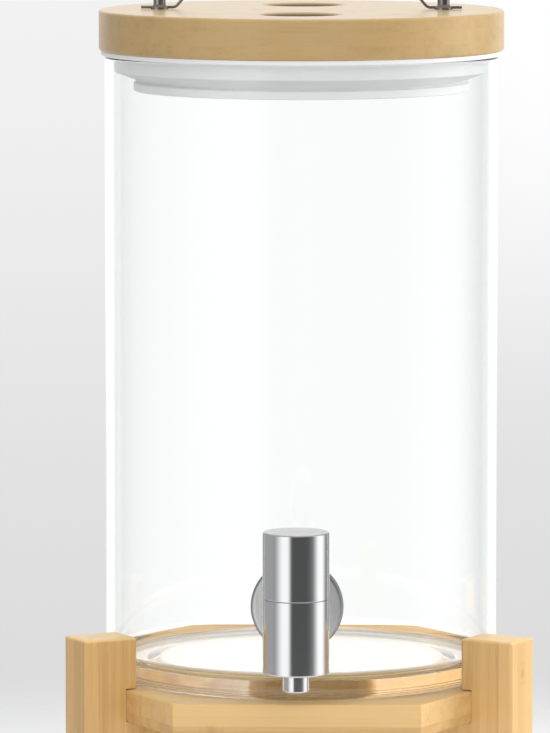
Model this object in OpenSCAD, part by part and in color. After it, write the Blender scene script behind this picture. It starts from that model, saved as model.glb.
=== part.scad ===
// Drink dispenser: a clear glass jar on a three-post bamboo stand, with a barrel tap at the front
// and a bamboo lid that carries a folding wire bail. Millimetres, +Z up, front at -Y.
// The origin is on the jar's axis, on the surface that the stand's feet rest on.

/* [Jar] */
// Outside diameter of the glass
jar_d = 190; // [170:1:210]
// Height of the glass from its foot to its rim
jar_h = 300.9; // [240:0.1:340]
// Thickness of the side wall
wall_t = 4; // [3:0.5:6]
// Thickness of the base
base_t = 9; // [6:0.5:12]
// Radius of the rounded heel
heel_r = 6; // [3:0.5:8]
// Radius of the corner between the inside wall and the base
inner_heel_r = 5; // [2:0.5:8]
// Radius of the rim's two rounded edges
rim_r = 1.3; // [0.5:0.1:1.4]
// Diameter of the hollow pressed into the underside
punt_d = 150; // [100:1:160]
// Depth of that hollow
punt_depth = 1.5; // [0.5:0.5:3]

/* [Stand] */
// Height of the board that the jar stands on
stand_h = 130.4; // [90:0.1:180]
// Thickness of the board's upper ply
upper_ply_t = 10.5; // [8:0.5:16]
// Thickness of the board's lower ply
lower_ply_t = 5; // [3:0.5:10]
// Post size along the radius
post_deep = 28; // [20:1:40]
// Post size across the radius
post_wide = 22; // [18:1:36]
// Height of the posts above the board
post_rise = 25; // [12:0.1:40]
// How far the posts reach in under the board to carry it
post_ledge = 14; // [8:1:24]
// Radius of the posts' rounded upright edges
post_edge_r = 1.6; // [0.5:0.1:3]
// Radius of the posts' rounded ends
post_end_r = 1.6; // [0.5:0.1:4]
// Radius of the board's rounded edges
board_edge_r = 1; // [0.4:0.1:2]
// How far the board's side corners are cut back inside the posts' outer faces
board_trim = 3.5; // [2:0.5:8]
// Gap between the glass and each post
post_gap = 0.6; // [0.5:0.1:2]
// Depth of the notch that takes the board's edge
notch_deep = 6; // [3:0.5:9]
// Play of the board in the notch
notch_play = 0.1; // [0.05:0.05:0.3]
// Room above the board in the notch
notch_head = 0.5; // [0.1:0.1:1]
// Dowel diameter
dowel_d = 5; // [3:0.5:6]
// Dowel length
dowel_l = 28; // [16:1:30]
// Distance between a post's two dowels
dowel_pitch = 11; // [9:0.5:12]
// Play round a dowel
dowel_play = 0.05; // [0.02:0.01:0.1]
// Foot pad diameter
pad_d = 15; // [10:0.5:16]
// Foot pad thickness
pad_t = 3; // [2:0.5:5]
// Depth of the pad's seat in the post
pad_seat = 1; // [0.5:0.5:1.5]

/* [Tap mounting] */
// Height of the tap's hole above the jar's foot
tap_h = 46.1; // [40:0.1:70]
// Distance from the glass to the barrel's axis
tap_reach = 27; // [25:0.5:40]
// Shank diameter
shank_d = 15.8; // [14:0.1:17]
// Shank bore
shank_bore = 9; // [6:0.5:10]
// Play of the shank in the glass, the gaskets and the metal
shank_play = 0.3; // [0.2:0.05:0.6]
// How far the shank stands past the nut
shank_tail = 4; // [1:0.5:8]
// Depth of the shank's socket in the neck
shank_socket = 6; // [4:0.5:6.5]
// Escutcheon diameter
escutcheon_d = 43.8; // [36:0.1:50]
// Escutcheon thickness at its face
escutcheon_t = 2.5; // [1.5:0.1:4]
// Thickness of the escutcheon's skirt
skirt_t = 1.4; // [1:0.1:2]
// Radius of the escutcheon's rounded edge
escutcheon_edge_r = 1.8; // [0.5:0.1:2.2]
// Outer gasket thickness at its thinnest
gasket_t = 1.6; // [1:0.1:3]
// Inner gasket diameter
inner_gasket_d = 31; // [28:0.5:38]
// Inner gasket thickness at its thickest
inner_gasket_t = 3.5; // [3:0.1:5]
// Washer diameter
washer_d = 29; // [26:0.5:36]
// Washer thickness
washer_t = 1.5; // [1:0.1:3]
// Lock nut size across its flats
nut_af = 24; // [21:0.5:28]
// Lock nut thickness
nut_t = 8; // [5:0.5:10]
// Gap that keeps pressed soft faces clear of the glass
seat_gap = 0.05; // [0.02:0.01:0.1]

/* [Tap] */
// Diameter of the barrel, body and handle alike
barrel_d = 31.3; // [29:0.1:36]
// Distance from the tap's hole down to the barrel's foot
tap_drop = 27.6; // [24:0.1:34]
// Length of the fixed body
body_l = 35.1; // [34:0.1:42]
// Length of the turning handle
handle_l = 31; // [28:0.5:40]
// Gap between body and handle
handle_gap = 0.4; // [0.3:0.1:1]
// Radius of the barrel's rounded edges
barrel_edge_r = 0.7; // [0.3:0.1:1.5]
// Neck diameter
neck_d = 21; // [19.5:0.1:24]
// Spout diameter
spout_d = 12.3; // [11:0.1:15]
// Spout bore
spout_bore = 8; // [6:0.5:8.5]
// Length of spout below the body
spout_l = 8.9; // [6:0.1:14]
// Diameter of the spout's spigot
spigot_d = 10; // [9.5:0.1:10.8]
// Length of the spout's spigot
spigot_l = 6; // [3:0.5:7]
// Play of the parts that are fixed in the body
fixed_play = 0.05; // [0.02:0.01:0.1]
// Valve chamber diameter
chamber_d = 18; // [16:0.5:19]
// Thickness of the body's floor
floor_t = 9.1; // [8:0.1:11]
// Running play of the spool in the chamber
spool_play = 0.05; // [0.02:0.01:0.1]
// Axial play of the spool
spool_end_play = 0.15; // [0.1:0.05:0.3]
// Diameter of the spool's side port
port_d = 7; // [5:0.5:7.5]
// Diameter of the collar that the handle turns round
collar_d = 24; // [23:0.1:25]
// Height of the collar above the body
collar_l = 10; // [8:0.5:14]
// Retaining ring diameter
ring_d = 21; // [20:0.1:22]
// Retaining ring thickness
ring_t = 4; // [2.5:0.5:5]
// Play between the handle and what stays still
handle_play = 0.35; // [0.3:0.05:0.6]
// Stem diameter
stem_d = 8; // [6:0.5:9]
// Length of stem inside the handle
stem_grip = 12; // [8:0.5:15]
// O-ring section
o_ring_d = 2; // [1.5:0.1:2.4]
// Depth of the O-ring's groove as a part of its section
groove_share = 0.8; // [0.7:0.05:0.9]
// Height of the lower O-ring above the chamber's floor
o_ring_foot = 4; // [3:0.1:5]
// Distance from the side port up to the upper O-ring
o_ring_clear = 3; // [2.5:0.1:4]
// Stop pin diameter
stop_pin_d = 2; // [1.5:0.1:2.5]
// How far the stop pin stands out of the collar
stop_pin_out = 1.4; // [1:0.1:2]
// How far the stop pin is sunk in the collar
stop_pin_in = 2; // [1:0.1:2.4]
// Turn from shut to open
tap_turn = 90; // [80:5:100]
// Grub screw diameter
grub_d = 4; // [3:0.5:5]
// Grub screw length
grub_l = 9; // [6:0.5:11]

/* [Lid] */
// How far the lid stands out past the glass
lid_overhang = 2.8; // [1:0.1:8]
// Thickness of the lid board
lid_t = 19.5; // [16:0.5:26]
// Radius of the lid's rounded edges
lid_edge_r = 1.4; // [0.5:0.1:4]
// Finger scoop diameter
scoop_d = 40; // [30:1:44]
// Finger scoop depth
scoop_deep = 7; // [5:0.5:9]
// Seal flange thickness
flange_t = 2.3; // [1.5:0.1:4]
// How far the flange stays inside the lid's edge
flange_inset = 1; // [0.5:0.5:2]
// Gap between the seal's upper lip and the glass
lip_gap = 0.5; // [0.35:0.05:1]
// Depth of the upper lip's lower edge below the board
upper_lip_h = 9.6; // [7:0.1:12]
// Height of the taper under the upper lip
lip_taper = 4.6; // [2:0.1:4.8]
// Depth of the whole seal below the board
seal_h = 19.2; // [16:0.1:24]
// Height of the lower lip
lower_lip_h = 4.2; // [3:0.1:6]
// How far the waist is drawn in above the lower lip
waist_in = 2; // [1:0.1:3]
// Radius of the lips' rounded edges
lip_edge_r = 0.8; // [0.4:0.1:1]
// How far the plug reaches out past the recesses of the bail posts' nuts
plug_cover = 1.3; // [0.5:0.1:3]
// Thickness of the seal's waist round the plug
waist_t = 4.9; // [3:0.1:7]
// How far the seal turns in under the plug
seal_hook = 6; // [4:0.5:10]
// Thickness of the turned-in edge
hook_t = 3; // [2:0.1:4]
// Play of the plug in the seal
plug_play = 0.1; // [0.05:0.05:0.3]
// Plug screw diameter
plug_screw_d = 4; // [3:0.5:5]
// Plug screw head diameter
plug_head_d = 8; // [7:0.5:10]
// Length of plug screw in the lid board
plug_screw_bite = 9; // [6:0.5:12]
// Number of plug screws
plug_screws_n = 3; // [3:1:6]
// Diameter of the ring of plug screws
plug_screw_ring_d = 90; // [60:1:100]
// Play of the screws in the wood
screw_play = 0.1; // [0.05:0.05:0.2]

/* [Bail] */
// Wire diameter
wire_d = 1.4; // [1.2:0.1:2.4]
// Distance from the lid's edge in to each post
post_inset = 29.3; // [27:0.1:36]
// Length of wire outside each post
stub_l = 9; // [6:0.5:12]
// Distance from each post's axis in to the wire's elbow
elbow_in = 7.8; // [6.5:0.1:10]
// Radius of the elbow along the wire's middle
elbow_r = 3.5; // [3:0.5:5]
// Height of the grip above the pivot
bail_rise = 49; // [40:1:60]
// Length of the grip between its corners
grip_l = 40; // [30:1:60]
// Radius of the grip's corners along the wire's middle
grip_r = 8; // [5:0.5:10]
// Running play of the wire in the posts
wire_play = 0.05; // [0.02:0.01:0.1]
// Gap between the wire and the lid
wire_gap = 0.3; // [0.2:0.1:1.5]
// Post diameter
bail_post_d = 6; // [5:0.1:7]
// Post height
bail_post_h = 9; // [7:0.1:11]
// Diameter of the post's flared foot
post_foot_d = 8.6; // [8:0.1:10]
// Height of the foot's rim
post_foot_t = 1; // [0.6:0.1:1.4]
// Diameter of the threaded stud under each post
post_stud_d = 3; // [2.5:0.1:3.2]
// Stud nut size across its flats
post_nut_af = 5.5; // [5:0.1:6.5]
// Stud nut height
post_nut_t = 2.4; // [1.6:0.1:3]
// Stud washer diameter
post_washer_d = 8; // [7:0.1:9]
// Stud washer thickness
post_washer_t = 0.8; // [0.5:0.1:1.2]
// Depth of the recess for nut and washer
recess_deep = 4; // [3.4:0.1:6]

/* [Hidden] */
$fn = 96;

// Smoothness of the wide rounds that a thin soft piece is fitted to
fine_fn = 250;
// Overrun of the cutting shapes past the faces that they open
over = 1;
// Swell of the wire where it is bent, and how far each straight run ends inside its bend
bend_swell = 0.01;
bend_lap = 0.1;

// Azimuths of the three posts, counted from the front
post_angles = [-60, 60, 180];

// Stand
jar_r = jar_d / 2;
post_inner = jar_r + post_gap;
board_apothem = post_inner + notch_deep - notch_play;
post_outer = post_inner + post_deep;
ledge_inner = post_inner - post_ledge;
leg_middle = (ledge_inner + post_outer) / 2;
board_half_w = post_outer * sin(60) + post_wide / 2 * cos(60) - board_trim;
board_t = upper_ply_t + lower_ply_t;
board_bottom = stand_h - board_t;
post_bottom = pad_t - pad_seat;
post_top = stand_h + post_rise;
dowel_z = stand_h - upper_ply_t / 2;

// Tap mounting, measured outwards from the jar's axis
bore_r = jar_r - wall_t;
gasket_face = jar_r + gasket_t;
escutcheon_face = gasket_face + escutcheon_t;
gasket_d = escutcheon_d - 2 * skirt_t - 2 * shank_play;
shank_hole_d = shank_d + 2 * shank_play;
inner_face = bore_r - inner_gasket_t;
washer_face = inner_face - washer_t;
nut_face = washer_face - nut_t;
shank_inner_end = nut_face - shank_tail;
shank_outer_end = escutcheon_face + shank_socket;

// Tap, heights above the jar's foot
barrel_y = -(jar_r + tap_reach);
barrel_bottom = tap_h - tap_drop;
body_top = barrel_bottom + body_l;
chamber_floor = barrel_bottom + floor_t;
collar_top = body_top + collar_l;
ring_bottom = collar_top - ring_t;
handle_bottom = body_top + handle_gap;
handle_top = handle_bottom + handle_l;
handle_roof = collar_top + handle_gap;
spool_d = chamber_d - 2 * spool_play;
spool_bottom = chamber_floor + spool_end_play;
spool_top = ring_bottom - spool_end_play;
stem_top = handle_roof + stem_grip;
o_ring_heights = [chamber_floor + o_ring_foot, tap_h + port_d / 2 + o_ring_clear];
groove_r = spool_d / 2 - groove_share * o_ring_d;
o_ring_inner_r = groove_r + fixed_play;
stop_pin_z = body_top + collar_l / 2 - ring_t / 2;
grub_z = handle_roof + stem_grip / 2;

// Lid
lid_r = jar_r + lid_overhang;
lid_bottom = stand_h + jar_h + flange_t;
lid_top = lid_bottom + lid_t;
scoop_r = (scoop_d * scoop_d / 4 + scoop_deep * scoop_deep) / (2 * scoop_deep);
bail_span = 2 * (lid_r - post_inset);
recess_d = post_washer_d + 4 * screw_play;
plug_r = bail_span / 2 + recess_d / 2 + plug_cover;
plug_t = seal_h - hook_t;
seal_bottom = lid_bottom - seal_h;
upper_lip_r = bore_r - lip_gap;
waist_r = plug_r + plug_play + waist_t;
lower_lip_r = waist_r + waist_in;

// Bail, in the plane of its wire: along the pivot and up from it
pivot_h = wire_gap + wire_d / 2;
pivot_z = lid_top + pivot_h;
elbow_x = bail_span / 2 - elbow_in;
stub_x = bail_span / 2 + stub_l;
leg_angle = atan2(bail_rise, elbow_x - grip_l / 2);
elbow_run = elbow_r * tan(leg_angle / 2);
grip_run = grip_r * tan(leg_angle / 2);
leg_l = norm([elbow_x - grip_l / 2, bail_rise]) - elbow_run - grip_run;

// Colours
bamboo = [0.86, 0.69, 0.44];
bamboo_dark = [0.80, 0.62, 0.38];
clear_glass = [0.85, 0.93, 0.93, 0.35];
steel = [0.78, 0.79, 0.80];
dark_steel = [0.55, 0.56, 0.58];
silicone = [0.90, 0.90, 0.90];
black_rubber = [0.12, 0.12, 0.12];

// What a rounded corner takes off a square one whose sides lie along +X and +Y
module corner(r) {
    difference() {
        translate([-over, -over]) square(r + over);
        translate([r, r]) circle(r);
    }
}

// Rectangle with its middle foot on the origin and its chosen corners rounded
module rounded_slab(w, h, top_r, foot_r = 0) {
    difference() {
        translate([-w / 2, 0]) square([w, h]);
        if (top_r > 0) {
            translate([-w / 2, h]) rotate(-90) corner(top_r);
            translate([w / 2, h]) rotate(180) corner(top_r);
        }
        if (foot_r > 0) {
            translate([-w / 2, 0]) corner(foot_r);
            translate([w / 2, 0]) rotate(90) corner(foot_r);
        }
    }
}

// Half profile of a turned disc from the axis outwards, with its rim's edges rounded
module disc_profile(r, t, top_r, foot_r) {
    difference() {
        square([r, t]);
        if (top_r > 0) translate([r, t]) rotate(180) corner(top_r);
        if (foot_r > 0) translate([r, 0]) rotate(90) corner(foot_r);
    }
}

// Places children on the tap's level axis, with +Z pointing out of the jar
module on_tap_axis() {
    translate([0, 0, stand_h + tap_h]) rotate([90, 0, 0]) children();
}

// Places children on the barrel's upright axis, with z counted from the jar's foot
module on_barrel() {
    translate([0, barrel_y, stand_h]) children();
}

// Places children at a post's azimuth, with +X pointing away from the jar's axis
module at_post(angle) {
    rotate(angle - 90) children();
}

// Turned ring between two distances along the tap's axis
module tap_ring(outer_d, hole_d, from, to) {
    on_tap_axis() translate([0, 0, from]) difference() {
        cylinder(d = outer_d, h = to - from);
        translate([0, 0, -over]) cylinder(d = hole_d, h = to - from + 2 * over);
    }
}

// Level rows of dowels in one post, larger by play all round
module dowel_pair(play) {
    for (side = [-1, 1])
        translate([board_apothem + notch_play / 2 - dowel_l / 2 - play, side * dowel_pitch / 2, dowel_z])
            rotate([0, 90, 0])
                cylinder(d = dowel_d + 2 * play, h = dowel_l + 2 * play);
}

// Upright bar from one radius to another with all its edges rounded
module post_bar(from, to, top) {
    deep = to - from;
    tall = top - post_bottom;
    translate([(from + to) / 2, 0, post_bottom]) intersection() {
        linear_extrude(tall)
            translate([0, -post_wide / 2]) rounded_slab(deep, post_wide, post_edge_r, post_edge_r);
        translate([0, post_wide / 2 + over, 0]) rotate([90, 0, 0])
            linear_extrude(post_wide + 2 * over) rounded_slab(deep, tall, post_end_r, post_end_r);
        translate([-deep / 2 - over, 0, 0]) rotate([90, 0, 90])
            linear_extrude(deep + 2 * over) rounded_slab(post_wide, tall, post_end_r, post_end_r);
    }
}

// Post that stands up beside the glass, cut back above the ledge and notched for the board
module post(angle) {
    at_post(angle) difference() {
        intersection() {
            post_bar(ledge_inner, post_outer, post_top);
            union() {
                translate([0, -post_wide, 0]) cube([2 * post_outer, 2 * post_wide, board_bottom]);
                post_bar(post_inner, post_outer + post_deep, post_top);
            }
        }
        translate([post_inner - over, -post_wide / 2 - over, board_bottom])
            cube([notch_deep + over, post_wide + 2 * over, board_t + notch_head]);
        dowel_pair(dowel_play);
        translate([leg_middle, 0, 0]) cylinder(d = pad_d + 2 * dowel_play, h = pad_t);
    }
}

// Six-sided board between two heights, its side corners cut off, its upper or lower edges rounded
module sided_board(z, t, top_r, foot_r) {
    intersection() {
        board_slab(0, 2 * board_apothem, z, t, top_r, foot_r);
        board_slab(60, 2 * board_apothem, z, t, top_r, foot_r);
        board_slab(120, 2 * board_apothem, z, t, top_r, foot_r);
        board_slab(90, 2 * board_half_w, z, t, top_r, foot_r);
    }
}

// One of the slabs whose overlap is the board
module board_slab(angle, w, z, t, top_r, foot_r) {
    reach = 3 * board_apothem;
    rotate(angle) translate([-reach / 2, 0, z]) rotate([90, 0, 90])
        linear_extrude(reach) rounded_slab(w, t, top_r, foot_r);
}

module post_front_left() {
    color(bamboo) post(post_angles[0]);
}

module post_front_right() {
    color(bamboo) post(post_angles[1]);
}

module post_rear() {
    color(bamboo) post(post_angles[2]);
}

module platform_upper_ply() {
    color(bamboo) difference() {
        sided_board(stand_h - upper_ply_t, upper_ply_t, board_edge_r, 0);
        for (angle = post_angles) at_post(angle) dowel_pair(dowel_play);
    }
}

module platform_lower_ply() {
    color(bamboo_dark) sided_board(board_bottom, lower_ply_t, 0, board_edge_r);
}

module post_dowels() {
    color(bamboo_dark) for (angle = post_angles) at_post(angle) dowel_pair(0);
}

module foot_pads() {
    color(black_rubber) for (angle = post_angles) at_post(angle)
        translate([leg_middle, 0, 0]) cylinder(d = pad_d, h = pad_t);
}

// Half profile of the glass: wall, base, rounded heel, rim and the hollow under the base
module jar_profile() {
    difference() {
        square([jar_r, jar_h]);
        translate([jar_r, 0]) rotate(90) corner(heel_r);
        translate([jar_r, jar_h]) rotate(180) corner(rim_r);
        difference() {
            translate([-over, base_t]) square([bore_r + over, jar_h]);
            translate([bore_r, base_t]) rotate(90) corner(inner_heel_r);
        }
        translate([bore_r, jar_h]) rotate(-90) corner(rim_r);
        polygon([[-over, -over], [punt_d / 2, -over], [punt_d / 2, 0],
            [punt_d / 2 - 4 * punt_depth, punt_depth], [-over, punt_depth]]);
    }
}

module glass_jar() {
    color(clear_glass) difference() {
        translate([0, 0, stand_h]) rotate_extrude() jar_profile();
        on_tap_axis() translate([0, 0, bore_r - over - wall_t])
            cylinder(d = shank_hole_d, h = 2 * wall_t + 2 * over);
    }
}

// Flat in front and hollowed behind to the round of the glass
module outer_gasket() {
    color(silicone) difference() {
        tap_ring(gasket_d, shank_hole_d, bore_r, gasket_face);
        translate([0, 0, stand_h]) cylinder(r = jar_r + seat_gap, h = jar_h, $fn = fine_fn);
    }
}

// Shallow cup over the outer gasket
module tap_escutcheon() {
    cup_back = jar_r + seat_gap + gasket_t / 4;
    color(steel) on_tap_axis() difference() {
        translate([0, 0, cup_back]) rotate_extrude()
            disc_profile(escutcheon_d / 2, escutcheon_face - cup_back, escutcheon_edge_r, 0);
        translate([0, 0, cup_back - over])
            cylinder(d = escutcheon_d - 2 * skirt_t, h = gasket_face - cup_back + over);
        cylinder(d = shank_hole_d, h = escutcheon_face + over);
    }
}

// Neck between escutcheon and barrel, hollowed where the handle turns past it
module tap_neck() {
    difference() {
        on_tap_axis() translate([0, 0, escutcheon_face]) cylinder(d = neck_d, h = -barrel_y - escutcheon_face);
        on_barrel() translate([0, 0, body_top]) cylinder(d = barrel_d + 2 * handle_play, h = neck_d);
    }
}

// Fixed half of the barrel with its neck, valve chamber, collar and spout socket
module tap_body() {
    color(steel) difference() {
        union() {
            on_barrel() translate([0, 0, barrel_bottom]) rotate_extrude()
                disc_profile(barrel_d / 2, body_l, barrel_edge_r, barrel_edge_r);
            on_barrel() translate([0, 0, body_top - over]) cylinder(d = collar_d, h = collar_l + over);
            tap_neck();
        }
        on_barrel() translate([0, 0, chamber_floor]) cylinder(d = chamber_d, h = collar_top);
        on_barrel() translate([0, 0, ring_bottom]) cylinder(d = ring_d, h = collar_top);
        on_barrel() translate([0, 0, barrel_bottom - over]) cylinder(d = spout_bore, h = floor_t + 2 * over);
        on_barrel() translate([0, 0, barrel_bottom - over])
            cylinder(d = spigot_d + 2 * fixed_play, h = spigot_l + fixed_play + over);
        on_tap_axis() cylinder(d = shank_bore, h = -barrel_y);
        on_tap_axis() cylinder(d = shank_d + 2 * fixed_play, h = shank_outer_end + fixed_play);
        stop_pin_shape(fixed_play);
    }
}

module tap_shank() {
    color(steel) tap_ring(shank_d, shank_bore, shank_inner_end, shank_outer_end);
}

// Flat inside and rounded behind to the bore of the glass
module inner_gasket() {
    color(silicone) intersection() {
        tap_ring(inner_gasket_d, shank_hole_d, inner_face, jar_r);
        translate([0, 0, stand_h]) cylinder(r = bore_r - seat_gap, h = jar_h, $fn = fine_fn);
    }
}

module inner_washer() {
    color(steel) tap_ring(washer_d, shank_hole_d, washer_face, inner_face);
}

// Hexagon nut with its corners turned down on both faces
module lock_nut() {
    nut_r = nut_af / 2 / cos(30);
    color(steel) intersection() {
        on_tap_axis() translate([0, 0, nut_face]) difference() {
            cylinder(r = nut_r, h = nut_t, $fn = 6);
            translate([0, 0, -over]) cylinder(d = shank_d + 2 * fixed_play, h = nut_t + 2 * over);
        }
        on_tap_axis() translate([0, 0, nut_face]) rotate_extrude() polygon([[0, 0], [nut_af / 2, 0],
            [nut_r, (nut_r - nut_af / 2) / 2], [nut_r, nut_t - (nut_r - nut_af / 2) / 2],
            [nut_af / 2, nut_t], [0, nut_t]]);
    }
}

module tap_spout() {
    color(steel) on_barrel() difference() {
        union() {
            translate([0, 0, barrel_bottom - spout_l]) rotate_extrude()
                disc_profile(spout_d / 2, spout_l, 0, barrel_edge_r);
            translate([0, 0, barrel_bottom - over]) cylinder(d = spigot_d, h = spigot_l + over);
        }
        translate([0, 0, barrel_bottom - spout_l - over])
            cylinder(d = spout_bore, h = spout_l + spigot_l + 2 * over);
    }
}

module retaining_ring() {
    color(dark_steel) on_barrel() translate([0, 0, ring_bottom]) difference() {
        cylinder(d = ring_d - 2 * fixed_play, h = ring_t);
        translate([0, 0, -over]) cylinder(d = stem_d + 2 * handle_play, h = ring_t + 2 * over);
    }
}

// Level pin in the back of the collar that ends the handle's turn
module stop_pin_shape(play) {
    on_barrel() translate([0, collar_d / 2 - stop_pin_in - play, stop_pin_z]) rotate([-90, 0, 0])
        cylinder(d = stop_pin_d + 2 * play, h = stop_pin_in + stop_pin_out + play);
}

module stop_pin() {
    color(dark_steel) stop_pin_shape(0);
}

// Round plug with a side port that turns towards the shank, and its stem
module valve_spool() {
    color(dark_steel) on_barrel() difference() {
        union() {
            translate([0, 0, spool_bottom]) cylinder(d = spool_d, h = spool_top - spool_bottom);
            translate([0, 0, spool_top - over]) cylinder(d = stem_d, h = stem_top - spool_top + over);
        }
        translate([0, 0, spool_bottom - over])
            cylinder(d = spout_bore, h = tap_h + port_d / 2 - spool_bottom + over);
        translate([0, 0, tap_h]) rotate([0, 90, 0]) cylinder(d = port_d, h = spool_d);
        for (z = o_ring_heights) translate([0, 0, z]) difference() {
            cylinder(r = spool_d, h = o_ring_d + 2 * fixed_play, center = true);
            cylinder(r = groove_r, h = 2 * o_ring_d, center = true);
        }
    }
}

// Rings that fill their grooves and run in the chamber
module spool_o_rings() {
    ring_section_r = (chamber_d / 2 - spool_play - o_ring_inner_r) / 2;
    color(black_rubber) on_barrel() for (z = o_ring_heights) translate([0, 0, z])
        rotate_extrude() translate([o_ring_inner_r + ring_section_r, 0]) circle(ring_section_r);
}

// Turning half of the barrel: a cap over the collar with a slot for the stop pin
module tap_handle() {
    hub_d = collar_d + 2 * handle_play;
    slot_d = collar_d + 2 * stop_pin_out + 2 * handle_play;
    slot_z = stop_pin_z - stop_pin_d / 2 - handle_play;
    pin_angle = asin((stop_pin_d / 2 + handle_play) / (collar_d / 2));
    color(steel) on_barrel() difference() {
        translate([0, 0, handle_bottom]) rotate_extrude()
            disc_profile(barrel_d / 2, handle_l, barrel_edge_r, barrel_edge_r);
        translate([0, 0, handle_bottom - over]) cylinder(d = hub_d, h = handle_roof - handle_bottom + over);
        translate([0, 0, handle_roof - over])
            cylinder(d = stem_d + 2 * fixed_play, h = stem_grip + handle_gap + over);
        translate([0, 0, slot_z]) rotate(90 - tap_turn - pin_angle)
            rotate_extrude(angle = tap_turn + 2 * pin_angle) translate([collar_d / 4, 0])
                square([slot_d / 2 - collar_d / 4, stop_pin_d + 2 * handle_play]);
        translate([0, 0, grub_z]) rotate([-90, 0, 0])
            cylinder(d = grub_d + 2 * fixed_play, h = barrel_d);
    }
}

module handle_grub_screw() {
    color(dark_steel) on_barrel() translate([0, stem_d / 2 + fixed_play, grub_z]) rotate([-90, 0, 0])
        cylinder(d = grub_d, h = grub_l);
}

// Places children at both bail posts
module at_bail_posts() {
    for (side = [-1, 1]) translate([side * bail_span / 2, 0, 0]) children();
}

// Round board with two dished finger scoops where the folded bail's grip lies
module lid_board() {
    color(bamboo) difference() {
        translate([0, 0, lid_bottom]) rotate_extrude() disc_profile(lid_r, lid_t, lid_edge_r, lid_edge_r);
        for (side = [-1, 1])
            translate([0, side * bail_rise, lid_top - scoop_deep + scoop_r]) sphere(scoop_r);
        at_bail_posts() translate([0, 0, lid_bottom - over]) {
            cylinder(d = post_stud_d + 2 * screw_play, h = lid_t + 2 * over);
            cylinder(d = recess_d, h = recess_deep + over);
        }
        plug_screw_shapes(screw_play);
    }
}

module lid_plug() {
    color(bamboo_dark) difference() {
        translate([0, 0, lid_bottom - plug_t]) cylinder(r = plug_r, h = plug_t);
        plug_screw_shapes(screw_play);
    }
}

// Countersunk screws up through the plug, larger by play all round
module plug_screw_shapes(play) {
    head_t = (plug_head_d - plug_screw_d) / 2;
    for (k = [0 : plug_screws_n - 1]) rotate(90 + 360 * k / plug_screws_n)
        translate([plug_screw_ring_d / 2, 0, lid_bottom - plug_t]) {
            translate([0, 0, -play]) cylinder(r1 = plug_head_d / 2 + play, r2 = plug_screw_d / 2 + play, h = head_t);
            translate([0, 0, head_t / 2])
                cylinder(d = plug_screw_d + 2 * play, h = plug_t + plug_screw_bite - head_t / 2 + play);
        }
}

module plug_screws() {
    color(steel) plug_screw_shapes(0);
}

// Half profile of the seal: flange on the rim, wide upper lip with a taper, waist, lower lip, turned-in edge
module seal_profile() {
    inner_r = plug_r + plug_play;
    lip_bottom = seal_h - upper_lip_h;
    taper_rise = lip_edge_r * lip_taper / (upper_lip_r - 2 * lip_edge_r - waist_r);
    difference() {
        union() {
            translate([0, seal_h - flange_t]) disc_profile(lid_r - flange_inset, flange_t, 0, lip_edge_r);
            translate([0, lip_bottom]) disc_profile(upper_lip_r, upper_lip_h - flange_t / 2, 0, lip_edge_r);
            polygon([
                [waist_r - lip_edge_r, lip_bottom - lip_taper - taper_rise],
                [upper_lip_r - lip_edge_r, lip_bottom + taper_rise],
                [waist_r - lip_edge_r, lip_bottom + lip_edge_r]
            ]);
            square([waist_r, seal_h]);
            disc_profile(lower_lip_r, lower_lip_h, lip_edge_r, lip_edge_r);
        }
        translate([-over, hook_t - plug_play]) square([inner_r + over, seal_h + over]);
        translate([-over, -over]) square([inner_r - seal_hook + over, seal_h]);
    }
}

module seal_ring() {
    color(silicone) translate([0, 0, seal_bottom]) rotate_extrude() seal_profile();
}

// Turned post with a flared foot, a domed top, the hole that the wire turns in and a stud through the lid
module bail_post(side) {
    dome_r = bail_post_d / 2;
    stud_l = lid_t - recess_deep + post_washer_t + post_nut_t;
    color(steel) translate([side * bail_span / 2, 0, lid_top]) difference() {
        union() {
            cylinder(d = post_foot_d, h = post_foot_t);
            translate([0, 0, post_foot_t])
                cylinder(d1 = post_foot_d, d2 = bail_post_d, h = (post_foot_d - bail_post_d) / 2);
            cylinder(d = bail_post_d, h = bail_post_h - dome_r / 2);
            translate([0, 0, bail_post_h - dome_r / 2])
                cylinder(r1 = dome_r, r2 = dome_r / 2, h = dome_r / 2);
            translate([0, 0, -stud_l]) cylinder(d = post_stud_d, h = stud_l + post_foot_t / 2);
        }
        translate([0, 0, pivot_h]) rotate([0, 90, 0])
            cylinder(d = wire_d + 2 * wire_play, h = 2 * post_foot_d, center = true);
    }
}

module bail_post_left() {
    bail_post(-1);
}

module bail_post_right() {
    bail_post(1);
}

module post_nuts() {
    color(dark_steel) at_bail_posts()
        translate([0, 0, lid_bottom + recess_deep - post_washer_t - post_nut_t]) difference() {
            cylinder(r = post_nut_af / 2 / cos(30), h = post_nut_t, $fn = 6);
            translate([0, 0, -over]) cylinder(d = post_stud_d + 2 * fixed_play, h = post_nut_t + 2 * over);
        }
}

module post_washers() {
    color(steel) at_bail_posts() translate([0, 0, lid_bottom + recess_deep - post_washer_t]) difference() {
        cylinder(d = post_washer_d, h = post_washer_t);
        translate([0, 0, -over]) cylinder(d = post_stud_d + 2 * screw_play, h = post_washer_t + 2 * over);
    }
}

// Round wire bent in the plane of the sketch about a centre, from one angle through another
module wire_bend(centre, r, start, turn) {
    translate(centre) rotate(start) rotate_extrude(angle = turn)
        translate([r, 0]) circle(d = wire_d + 2 * bend_swell);
}

// Straight round wire in the plane of the sketch
module wire_run(from, angle, length) {
    translate(from) rotate(angle) rotate([0, 90, 0]) cylinder(d = wire_d, h = length);
}

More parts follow.
